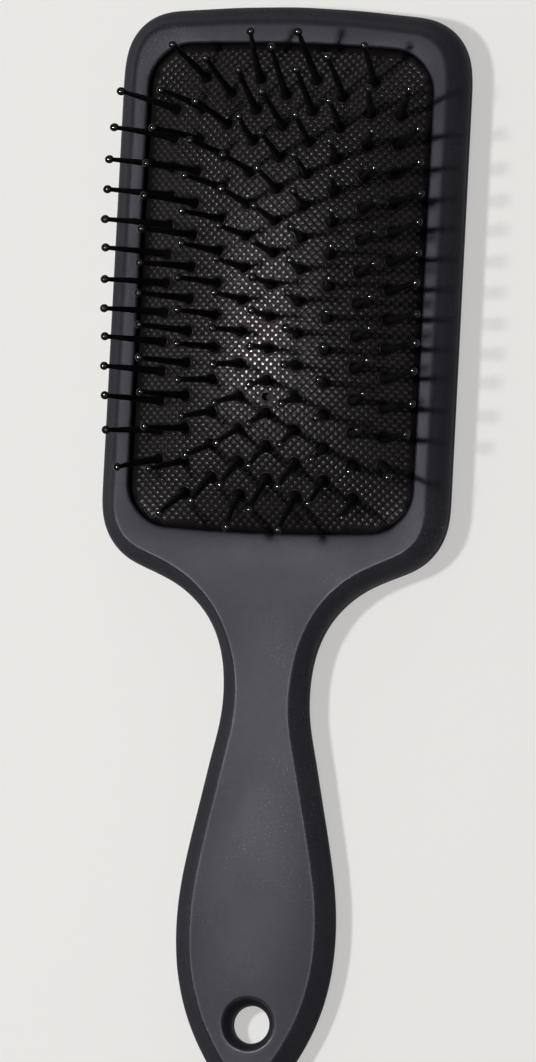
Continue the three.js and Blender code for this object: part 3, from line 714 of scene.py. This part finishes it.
# ------------------------------------------------------------------ rear shell
def rear_shell():
    b = Build()
    y = P[:, 1]
    rows = []

    def row(off, z, wear_and_highlight=0.0):
        q = inset(off)
        rows.append(b.add(np.column_stack([q, np.broadcast_to(z, (len(P),))]), wear_and_highlight))

    # outside, from the edge of the flat back up to the seam, then in over the lip and down the inside
    top = SZ - 0.42
    for t in np.linspace(math.pi / 2, 0, 17):
        row(back_in(y) * (1 - math.cos(t)), top * (1 - math.sin(t)))
    row(0.07, SZ - 0.21)
    row(0.22, SZ - 0.13)
    row(0.62, SZ - 0.12)
    row(WALL + 0.3, SZ - 0.12)
    row(WALL + 0.3, SZ + 1.0)
    row(WALL + 1.4, SZ + 1.0)
    row(WALL + 1.4, np.maximum(5.2, SZ - 1.2))
    row(WALL + 1.6, 3.8)
    row(back_in(y) + 0.4, FLOOR_T)
    for k in range(len(rows) - 1):
        b.strip(rows[k], rows[k + 1])
    n_h = 96
    ang = np.arange(n_h) * 2 * math.pi / n_h
    circ = np.stack([np.cos(ang), np.sin(ang)], 1)
    sh = float(seam_z(HANG_Y))
    # last column marks wear and the painted highlight on the countersink's edge
    prof = [(6.9, 0, 0.1), (6.68, 0.02, 0.5), (6.50, 0.10, 0.9), (6.36, 0.24, 1.0), (6.26, 0.45, 0.6), (6.10, 0.95, 0.1), (5.7, 2.0, 0), (5.3, 3.2, 0),
            (4.95, 4.25, 0), (4.72, 4.8, 0), (4.57, 5.2, 0), (4.5, 5.6, 0), (4.5, sh - 0.17, 0), (4.6, sh - 0.12, 0), (7.6, sh - 0.12, 0), (7.6, FLOOR_T, 0)]
    rings = [b.add(np.column_stack([circ * r + [0, HANG_Y], np.full(n_h, z)]), w) for r, z, w in prof]
    for k in range(len(rings) - 1):
        b.strip(rings[k], rings[k + 1], flip=True)
    for low in (True, False):
        loop = inset(back_in(y)) if low else inset(back_in(y) + 0.4)
        hl = circ * (6.9 if low else 7.6) + [0, HANG_Y]
        grid = free_points([loop, hl], 3.0 if low else 6.0, 1.2, (-42, -130, 42, 131))
        pts, tri = fill([loop, hl], grid)
        ids = np.empty(len(pts), int)
        ids[:len(loop)] = rows[0] if low else rows[-1]
        ids[len(loop):len(loop) + n_h] = rings[0] if low else rings[-1]
        g = pts[len(loop) + n_h:]
        ids[len(loop) + n_h:] = b.add(np.column_stack([g, np.full(len(g), 0.0 if low else FLOOR_T)]))
        b.face(ids[tri][:, ::-1] if low else ids[tri])
    # tray posts and locating pegs inside
    up = (0, 0, 1)
    for x, yy in ((-24, 24), (24, 24), (-24, 62.4), (24, 62.4), (-24, 100), (24, 100)):
        lathe(b, [(2.6, 1.4), (2.6, 3.9), (2.4, 4.1), (1.3, 4.1), (1.3, 6.1), (1.0, 6.4)], np.array([x, yy, 0.0]), up, 24)
    for yy in (-24, -62):
        s, f = float(seam_z(yy)), float(face_z(yy))
        lathe(b, [(3.2, 1.4), (3.2, s - 0.35), (3.0, s - 0.15), (1.5, s - 0.15), (1.5, f - 2.5), (1.1, f - 2.1)], np.array([0, yy, 0.0]), up, 24)
    return b.make("rear_shell_visual", M_REAR)


# ------------------------------------------------------------------ pins
columns = []
for c in range(-4, 5):
    count = 14 if c % 2 else 13
    pitch = OUTER_PITCH if abs(c) == 4 else PIN_PITCH
    columns.append((c, [(c * COL_PITCH, ((count - 1) / 2 - i) * pitch) for i in range(count)]))

# no two pins of a hand-filled pad stand quite alike: how far each ball is out of true, mm across and along, head end first
LEAN = {
    -4: [(-2.3, -0.5), (-1.9, -1.3), (-1.8, -1.3), (-1.2, -1), (-1.1, -0.8), (-0.3, -0.4), (0, -0.9), (0.3, -0.8), (0.9, -0.3), (0.8, -0), (0.8, 0.5), (0.4, -0), (2.1, -0.9)],
    -3: [(-1, -0.5), (-0.7, -2.2), (-0.6, -2.2), (-0.8, -1.9), (-0.4, -1.1), (-0.5, -0.8), (-0.4, -1), (-0.3, -0.5), (0.3, -0.1), (0.6, 0.3), (0.8, 0.7), (1.3, 1.4), (1.2, 0.7), (1.7, -0.2)],
    -2: [(0.2, -0.2), (0, -1.2), (0.1, -1.4), (-0.2, -0.9), (-0.1, -0.8), (0.2, -0.3), (-0.2, -0.7), (0.1, -0.5), (0.4, -0.3), (0.7, -0.3), (1.5, 0.2), (1.9, 0.4), (2.2, -0.6)],
    -1: [(1.7, 1.5), (0.6, 1.3), (2.3, -0.4), (-0.4, -0.5), (-0.1, 0.2), (-0.1, -0.1), (-0.3, 0.1), (-0.3, -0.2), (-0.4, -0.6), (0.1, -0.7), (0.5, -0.8), (1, -0.9), (1.3, -1.1), (2, -1.1)],
    0: [(0.1, 2.3), (-0.7, 0.9), (0.1, 0.3), (-0.1, 0.9), (-0.2, 0.6), (0.1, 0.5), (0.4, -0.2), (0.5, -0.2), (0.6, -0.4), (0.7, -0.7), (0.7, -0.9), (0.8, -1.1), (0.6, -1.6)],
    1: [(-1.5, 1.8), (-0.9, 2), (-0.1, 0.3), (0.2, -0), (0.6, 0.2), (0.6, 0.2), (0.7, 0.3), (0.7, 0.2), (0.6, -0), (0.5, -0.2), (0.4, -0.5), (0.3, -0.7), (-0.1, -1), (-0, -1.3)],
    2: [(-2, 1), (-1.1, -0.2), (-0.7, -0.7), (0, -0.1), (0.4, 0.3), (0.6, 0.1), (0.6, 0.2), (0.5, 0.1), (0.2, -0), (-0.5, 0.8), (-0.6, 0.8), (-0.9, 0.4), (-1, -0.3)],
    3: [(-1.3, 0.6), (-1.1, -0.5), (-0.5, -1.5), (-0.2, -1.3), (0.1, -0.7), (0.3, 0.1), (0.4, 0.5), (0, 0.3), (0.2, 0.7), (0.2, 1.3), (-0, 1.9), (-0.5, 2.2), (-1, 1.5), (-0.9, 0.2)],
    4: [(-1, 1.8), (0.2, 0.4), (-0.1, 0.1), (-0, 0.2), (-0.4, 0.7), (-0.3, 0.6), (-0.4, 0.5), (0.1, 0.2), (0.4, 0.5), (0.4, 1.2), (0.9, 0.9), (0.8, 1.3), (-1.5, -1.1)],
}

# radius along a pin: flared foot in the pad, long taper, neck, ball
_ball = [(BALL_R * math.sin(a), PIN_LEN - BALL_R * math.cos(a)) for a in np.linspace(0.60, math.pi, 13)[:-1]]
PIN_PROFILE = ([(1.05, -WEB_DROP + 0.1), (1.12, -1.2), (1.28, -0.35), (1.30, 0.05), (1.24, 0.35), (1.12, 0.75), (1.02, 1.3), (0.95, 2.2), (0.90, 3.4)]
               + [(0.90 - 0.34 * (s - 3.4) / 15.0, s) for s in (5.2, 7.2, 9.4, 11.6, 13.8, 16.0, 17.6, 18.7)]
               + [(0.56, 19.15), (0.565, 19.38)] + _ball + [(0.0, PIN_LEN + BALL_R)])


def pin_strip(c, pins):
    b = Build()
    for k, (x, y) in enumerate(pins):
        n = pad_normal(x, y)
        foot = np.array([x, y + PAD_Y, float(pad_z(x, y))])
        wear_and_highlight = [float(smooth((s - PIN_LEN + 0.95) / 0.45)) for _, s in PIN_PROFILE]
        parts = len(b.v)
        lathe(b, PIN_PROFILE, foot, n, 20, phase=0.3 * x + 0.7 * y, wear_and_highlight=wear_and_highlight)
        # bend it over from its foot, keeping its length
        ex = np.array([n[2], 0.0, -n[0]]) / math.hypot(n[0], n[2])
        lean = ex * LEAN[c][k][0] + np.cross(n, ex) * LEAN[c][k][1]
        for part in b.v[parts:]:
            up = (part - foot) @ n
            share = np.clip(up / PIN_LEN, 0, 1.1)[:, None] ** 1.4
            part += lean * share - n * (lean @ lean) / (2 * PIN_LEN) * share
    # the web: a rounded bar that follows the dome behind the pad
    ys = np.linspace(pins[-1][1] - 1.7, pins[0][1] + 1.7, 66)
    x = pins[0][0]
    nn = pad_normal(np.full(len(ys), float(x)), ys)
    cen = np.column_stack([np.full(len(ys), float(x)), ys + PAD_Y, pad_z(np.full(len(ys), float(x)), ys)]) - nn * WEB_DROP
    across = np.column_stack([np.ones(len(ys)), np.zeros(len(ys)), -nn[:, 0] / nn[:, 2]])
    across /= np.linalg.norm(across, axis=1, keepdims=True)
    sec = [(math.copysign(abs(math.cos(a)) ** 0.5, math.cos(a)), math.copysign(abs(math.sin(a)) ** 0.5, math.sin(a))) for a in np.arange(12) * math.pi / 6 + 0.26]
    prev = None
    for k in range(len(ys)):
        ring = b.add([cen[k] + across[k] * WEB_W * u + nn[k] * WEB_T * v for u, v in sec])
        if prev is not None:
            b.strip(prev, ring, flip=False)
        else:
            b.fan(ring, b.add([cen[0]])[0], flip=True)
        prev = ring
    b.fan(prev, b.add([cen[-1]])[0])
    side = "center" if c == 0 else ("left_" if c < 0 else "right_") + str(abs(c))
    ob = b.make("pins_" + side, M_PIN)
    return ob, side


# ------------------------------------------------------------------ cushion
ALL_PINS = np.array([p for _, ps in columns for p in ps])


def cushion():
    b = Build()
    rim = open_ring(-PAD_GAP, 400) - [0, PAD_Y]
    safe = open_ring(-PAD_GAP - 0.18, 400) - [0, PAD_Y]
    # dots on a diamond lattice: centres at (i, j) with i + j even, each with a diamond-shaped cell
    ni, nj = int(OPEN_X / DOT_X) + 1, int(59 / DOT_Y) + 1
    ii, jj = np.meshgrid(np.arange(-ni, ni + 1), np.arange(-nj, nj + 1), indexing="ij")
    ok = (ii + jj) % 2 == 0
    ci, cj = ii[ok], jj[ok]
    cx, cy = ci * DOT_X, cj * DOT_Y
    # cell outline in half steps: corners and edge middles, counter-clockwise
    ring8 = [(2, 0), (1, 1), (0, 2), (-1, 1), (-2, 0), (-1, -1), (0, -2), (1, -1)]
    good = np.ones(len(cx), bool)
    for dx, dy in ring8[::2]:
        good &= inside(safe, np.column_stack([cx + dx * DOT_X / 2, cy + dy * DOT_Y / 2]))
    good &= np.hypot(cx, cy + PAD_Y - VENT_Y) > 1.9
    ci, cj, cx, cy = ci[good], cj[good], cx[good], cy[good]

    def surf(x, y, h):
        x, y = np.asarray(x, float), np.asarray(y, float)
        p = np.column_stack([x, y])
        away = np.concatenate([np.linalg.norm(p[i:i + 3000, None] - rim[None], axis=2).min(1) for i in range(0, len(p), 3000)])
        lift = EDGE_LIFT * np.clip(1 - away / 6.0, 0, 1) ** 2
        base = np.column_stack([x, y + PAD_Y, pad_z(x, y) + lift])
        return base + pad_normal(x, y) * np.asarray(h)[:, None]

    def dots(x, y):
        """Height of the moulded texture, from 0 in the hollows to 1 on the tops, fading out at each pin's foot."""
        near = np.concatenate([np.linalg.norm(np.column_stack([x, y])[i:i + 3000, None] - ALL_PINS[None], axis=2).min(1)
                               for i in range(0, len(x), 3000)])
        wave = 0.5 + 0.5 * np.cos(math.pi * x / DOT_X) * np.cos(math.pi * y / DOT_Y)
        return smooth((wave - 0.38) / 0.42) * smooth((near - 1.5) / 0.5)

    lattice, shared = {}, []

    def key(i2, j2):
        k = (int(i2), int(j2))
        if k not in lattice:
            lattice[k] = len(shared)
            shared.append((i2 * DOT_X / 2, j2 * DOT_Y / 2))
        return lattice[k]

    cells = np.array([[key(2 * a + dx, 2 * c + dy) for dx, dy in ring8] for a, c in zip(ci, cj)])
    shared = np.array(shared)

    # each point's dot height is also its mark: the tops are glossier and painted lighter as a highlight
    def lay(x, y):
        h = dots(x, y)
        p = surf(x, y, h * DOT_H)
        e = 0.02
        px, py = surf(x + e, y, dots(x + e, y) * DOT_H), surf(x, y + e, dots(x, y + e) * DOT_H)
        n = np.cross(px - p, py - p)
        return b.add(p, h, n / np.linalg.norm(n, axis=1, keepdims=True))

    sid = lay(shared[:, 0], shared[:, 1])
    ang = np.arange(8) * math.pi / 4
    mid_r = np.where(np.arange(8) % 2 == 0, 1.0, 0.84)
    ids = [sid[cells]]
    for r in (0.52, 0.30):
        px = cx[:, None] + r * DOT_X * mid_r * np.cos(ang)
        py = cy[:, None] + r * DOT_Y * mid_r * np.sin(ang)
        ids.append(lay(px.ravel(), py.ravel()).reshape(-1, 8))
    tops = lay(cx, cy)
    for lo, hi in zip(ids[:-1], ids[1:]):
        for k in range(8):
            j = (k + 1) % 8
            b.face(np.stack([lo[:, k], lo[:, j], hi[:, j], hi[:, k]], 1))
    for k in range(8):
        b.face(np.stack([ids[-1][:, k], ids[-1][:, (k + 1) % 8], tops], 1))
    # edge of the dotted field
    seen = {}
    for cell in cells:
        for k in range(8):
            a, c = int(cell[k]), int(cell[(k + 1) % 8])
            if (c, a) in seen:
                del seen[(c, a)]
            else:
                seen[(a, c)] = True
    nxt = {}
    for a, c in seen:
        nxt.setdefault(a, []).append(c)
    loops = []
    while nxt:
        start = next(iter(nxt))
        loop, cur, came = [start], start, None
        while True:
            cand = nxt[cur]
            if len(cand) > 1 and came is not None:
                # two cells touch at a point: turn left, so that each loop stays simple
                d0 = shared[cur] - shared[came]
                best = max(cand, key=lambda q: math.atan2(d0[0] * (shared[q] - shared[cur])[1] - d0[1] * (shared[q] - shared[cur])[0],
                                                          d0 @ (shared[q] - shared[cur])))
                cand.remove(best)
                step = best
            else:
                step = cand.pop()
            if not nxt[cur]:
                del nxt[cur]
            if step == start:
                break
            loop.append(step)
            came, cur = cur, step
        loops.append(np.array(loop))
    loops.sort(key=lambda l: -len(l))
    field = loops[0]
    vent_loop = loops[1]
    # plain margin between the dots and the rim
    rim_id = b.add(surf(rim[:, 0], rim[:, 1], np.full(400, -0.05)))
    pts, tri = fill([rim, shared[field]], np.zeros((0, 2)))
    idx = np.concatenate([rim_id, sid[field]])
    b.face(idx[tri])
    # vent: a low moulded ring round a small hole, its crest marked for a faint painted highlight
    nv = 40
    a = np.arange(nv) * 2 * math.pi / nv
    circ = np.stack([np.cos(a), np.sin(a)], 1)
    vy = VENT_Y - PAD_Y
    prof = [(1.25, 0.02, 0), (1.14, 0.04, 0.1), (1.05, 0.04, 0.2), (0.97, 0.01, 0.2), (0.90, -0.08, 0.1), (0.86, -0.24, 0), (0.85, -PAD_T, 0)]
    vr = [b.add(surf(circ[:, 0] * r, vy + circ[:, 1] * r, np.full(nv, h)), w) for r, h, w in prof]
    for k in range(len(vr) - 1):
        b.strip(vr[k], vr[k + 1])
    poly = shared[vent_loop]
    pts, tri = fill([poly, circ * prof[0][0] + [0, vy]], np.zeros((0, 2)))
    idx = np.concatenate([sid[vent_loop], vr[0]])
    b.face(idx[tri])
    low_vent = vr[-1]
    # flange and inner skin
    clamp_top, clamp_bottom = PAD_EDGE_Z - 0.65, PAD_EDGE_Z - 1.95
    def rr(grow, z):
        q = open_ring(grow, 400)
        return b.add(np.column_stack([q, np.full(400, z)]))
    roll = b.add(np.column_stack([rim[:, 0], rim[:, 1] + PAD_Y, surf(rim[:, 0], rim[:, 1], np.full(400, -0.45))[:, 2]]))
    chain = [rim_id, roll, rr(-PAD_GAP, clamp_top), rr(FLANGE - 0.15, clamp_top), rr(FLANGE, clamp_top - 0.15), rr(FLANGE, clamp_bottom + 0.15),
             rr(FLANGE - 0.15, clamp_bottom), rr(-1.6, clamp_bottom)]
    for k in range(len(chain) - 1):
        b.strip(chain[k], chain[k + 1], flip=True)
    low = open_ring(-1.6, 400) - [0, PAD_Y]
    inner_hole = np.stack([np.cos(a), np.sin(a)], 1) * 0.85 + [0, vy]
    grid = free_points([low, inner_hole], 3.2, 1.0, (-35, -60, 35, 60))
    pts, tri = fill([low, inner_hole], grid)
    g = pts[400 + nv:]
    n = pad_normal(g[:, 0], g[:, 1])
    gi = b.add(np.column_stack([g[:, 0], g[:, 1] + PAD_Y, pad_z(g[:, 0], g[:, 1])]) - n * PAD_T)
    idx = np.concatenate([chain[-1], low_vent, gi])
    b.face(idx[tri][:, ::-1])
    # collars round the pin feet, their crests marked for a faint painted highlight
    for x, y in ALL_PINS:
        n = pad_normal(x, y)
        foot = np.array([x, y + PAD_Y, float(pad_z(x, y))])
        lathe(b, [(1.95, -0.24), (1.80, 0.02), (1.64, 0.12), (1.48, 0.16), (1.34, 0.10), (1.22, -0.10), (1.50, -0.50)], foot, n, 16,
              wear_and_highlight=[0, 0, 0.05, 0.1, 0.1, 0, 0], rejoin=True)
    return b.make("air_cushion_visual", M_PAD)


# ------------------------------------------------------------------ assembly
shell_f = front_shell()
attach(shell_f, "handle")
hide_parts("front_shell")

shell_r = rear_shell()
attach(shell_r, "handle")
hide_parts("rear_shell")

tray = nodes["cushion_tray"]
tray.data.materials.clear()
tray.data.materials.append(M_TRAY)

pad = cushion()
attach(pad, "handle")
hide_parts("air_cushion")
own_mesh(pad)

for c, pins in columns:
    ob, side = pin_strip(c, pins)
    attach(ob, "pin_row_" + side)
    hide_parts("pin_strip_" + side)

# ------------------------------------------------------------------ floor, lights, camera
fb = Build()
fb.face([fb.add([(-30000, -30000, -0.02), (30000, -30000, -0.02), (30000, 30000, -0.02), (-30000, 30000, -0.02)])])
M_FLOOR, ft, fp = new_material("pale_floor")
fp.inputs["Base Color"].default_value = (0.38, 0.375, 0.367, 1)
fp.inputs["Emission Color"].default_value = (1.0, 0.985, 0.965, 1)
# the lamps only reach the floor near the brush: further out it makes up for them, so it stays pale up to the horizon
f_at = ft.nodes.new("ShaderNodeTexCoord")
f_far = ft.nodes.new("ShaderNodeVectorMath")
f_far.operation = "LENGTH"
f_glow = ft.nodes.new("ShaderNodeMapRange")
f_glow.interpolation_type = "SMOOTHERSTEP"
for key_, v_ in (("From Min", 0.30), ("From Max", 2.40), ("To Min", 0.48), ("To Max", 0.74)):
    f_glow.inputs[key_].default_value = v_
ft.links.new(f_at.outputs["Object"], f_far.inputs[0])
ft.links.new(f_far.outputs["Value"], f_glow.inputs["Value"])
ft.links.new(f_glow.outputs["Result"], fp.inputs["Emission Strength"])
fp.inputs["Roughness"].default_value = 0.75
fp.inputs["Specular IOR Level"].default_value = 0.2
floor = fb.make("floor", M_FLOOR)

bpy.context.scene.view_settings.view_transform = "Standard"
world = bpy.data.worlds.new("studio")
bpy.context.scene.world = world
world.use_nodes = True
bg = world.node_tree.nodes["Background"]
# a pale band along the horizon meets the floor, and the room above it is dim
wn, wl = world.node_tree.nodes, world.node_tree.links
w_at, w_split, w_up = wn.new("ShaderNodeTexCoord"), wn.new("ShaderNodeSeparateXYZ"), wn.new("ShaderNodeMapRange")
w_up.interpolation_type = "SMOOTHERSTEP"
for key_, v_ in (("From Min", 0.02), ("From Max", 0.16), ("To Min", 0.0), ("To Max", 1.0)):
    w_up.inputs[key_].default_value = v_
w_mix = wn.new("ShaderNodeMix")
w_mix.data_type = "RGBA"
w_mix.inputs[6].default_value = (0.775, 0.765, 0.750, 1)
w_mix.inputs[7].default_value = (0.086, 0.088, 0.094, 1)
wl.new(w_at.outputs["Generated"], w_split.inputs[0])
wl.new(w_split.outputs["Z"], w_up.inputs["Value"])
wl.new(w_up.outputs["Result"], w_mix.inputs[0])
wl.new(w_mix.outputs[2], bg.inputs["Color"])
bg.inputs["Strength"].default_value = 1.0


def area(name, direction, distance, size, power, colour=(1, 1, 1), target=(0, 0.03, 0.015)):
    d = Vector(direction).normalized()
    light = bpy.data.lights.new(name, "AREA")
    light.shape = "RECTANGLE"
    light.size, light.size_y = size
    light.energy = power
    light.color = colour
    ob = bpy.data.objects.new(name, light)
    ob.location = Vector(target) + d * distance
    ob.rotation_euler = (-d).to_track_quat("-Z", "Y").to_euler()
    ob.visible_camera = False
    bpy.context.scene.collection.objects.link(ob)
    return ob


area("key", (-0.285, -0.010, 0.955), 1.1, (0.095, 0.095), 8.4, (1.0, 0.985, 0.96))
area("fill", (0.14, -0.09, 0.98), 2.2, (0.30, 0.30), 2.6, (0.97, 0.98, 1.0))
area("left", (-0.90, 0.05, 0.42), 1.4, (0.12, 0.9), 0.8, (0.92, 0.96, 1.0))
area("right", (0.90, -0.05, 0.45), 1.6, (0.10, 0.9), 0.5, (1.0, 0.95, 0.88))
area("top", (-0.05, 0.86, 0.5), 1.5, (0.8, 0.12), 1.2, (1, 1, 1))

# camera: 13.7 degrees to the right of square-on, 3.9 towards the handle, with a slight roll
PHI, THETA, ROLL = math.radians(13.67), math.radians(3.92), math.radians(2.97)
VIEW_H = 253.73 * MM
DIST = 3.774
r = Vector((math.cos(PHI), 0, -math.sin(PHI)))
u = Vector((math.sin(PHI) * math.sin(THETA), math.cos(THETA), math.cos(PHI) * math.sin(THETA)))
w = Vector((math.sin(PHI) * math.cos(THETA), -math.sin(THETA), math.cos(PHI) * math.cos(THETA)))
right_v = r * math.cos(ROLL) + u * math.sin(ROLL)
up_v = -r * math.sin(ROLL) + u * math.cos(ROLL)
aim = Vector((0, 65.9, 13.4)) * MM + r * (-0.573 * MM) + u * (-61.376 * MM)
cam = bpy.data.cameras.new("camera")
cam.sensor_width = 36
cam.lens = 36 * DIST / VIEW_H
cam.clip_start, cam.clip_end = 0.05, 200
cam_ob = bpy.data.objects.new("camera", cam)
cam_ob.matrix_world = Matrix((
    (right_v.x, up_v.x, w.x, aim.x + w.x * DIST),
    (right_v.y, up_v.y, w.y, aim.y + w.y * DIST),
    (right_v.z, up_v.z, w.z, aim.z + w.z * DIST),
    (0, 0, 0, 1),
))
bpy.context.scene.collection.objects.link(cam_ob)
bpy.context.scene.camera = cam_ob

bpy.context.view_layer.update()
